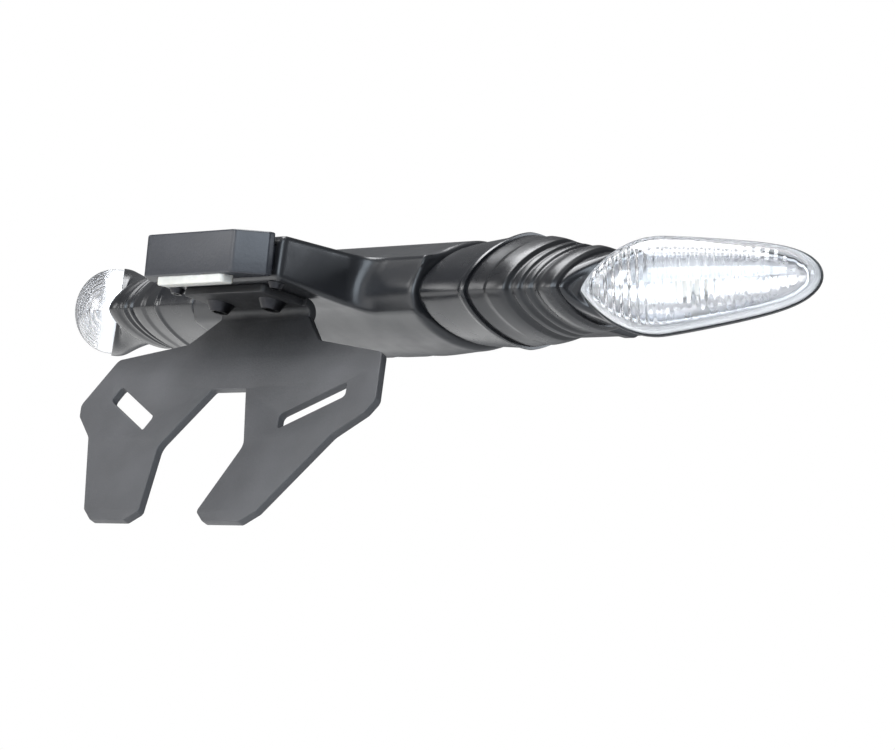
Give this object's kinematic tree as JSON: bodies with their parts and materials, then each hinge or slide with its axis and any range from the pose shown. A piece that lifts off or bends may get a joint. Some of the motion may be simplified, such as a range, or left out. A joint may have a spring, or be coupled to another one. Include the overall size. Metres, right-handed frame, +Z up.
{
  "type": "motorcycle tail tidy",
  "caption": "Short number plate carrier for a motorcycle tail, with a light arm, a forked plate hanger and clear indicators on ribbed stems.",
  "frame": {"origin": "centre of the four tail bolts, on the top face of the mounting plate", "axes": "+X to the right-hand side, +Y forward towards the front wheel, +Z up, square to the mounting face"},
  "size_m": [0.3464, 0.153, 0.0973],
  "materials": {
    "body_moulding": "satin",
    "bracket_black": "satin",
    "cap_moulding": "satin",
    "hanger_black": "matt",
    "stem_plastic": "satin",
    "boot_rubber": "satin",
    "rubber": "matt",
    "fastener_steel": "zinc plated",
    "frosted_lens": "frosted",
    "circuit_board": "satin",
    "indicator_lamp": "satin",
    "reflector_chrome": "bright",
    "clear_lens": "clear",
    "fastener_black": "zinc plated"
  },
  "bodies": {
    "root": {"carrier_body": "body_moulding", "mounting_plate": "bracket_black", "body_screws": "fastener_black", "cable_grommet": "rubber", "nose_cap": "cap_moulding", "cap_screws": "fastener_black", "plate_light_lens": "frosted_lens", "plate_light_board": "circuit_board", "hanger_plate": "hanger_black", "hanger_screws": "fastener_black", "hanger_nuts": "fastener_steel", "stem_gasket_right": "rubber", "stem_base_right": "stem_plastic", "stem_boot_right": "boot_rubber", "stem_stud_right": "fastener_steel", "stem_washer_right": "fastener_steel", "stem_nut_right": "fastener_steel", "indicator_housing_right": "stem_plastic", "indicator_reflector_right": "reflector_chrome", "indicator_board_right": "indicator_lamp", "indicator_lens_right": "clear_lens", "stem_gasket_left": "rubber", "stem_base_left": "stem_plastic", "stem_boot_left": "boot_rubber", "stem_stud_left": "fastener_steel", "stem_washer_left": "fastener_steel", "stem_nut_left": "fastener_steel", "indicator_housing_left": "stem_plastic", "indicator_reflector_left": "reflector_chrome", "indicator_board_left": "indicator_lamp", "indicator_lens_left": "clear_lens"}
  },
  "joints": []
}
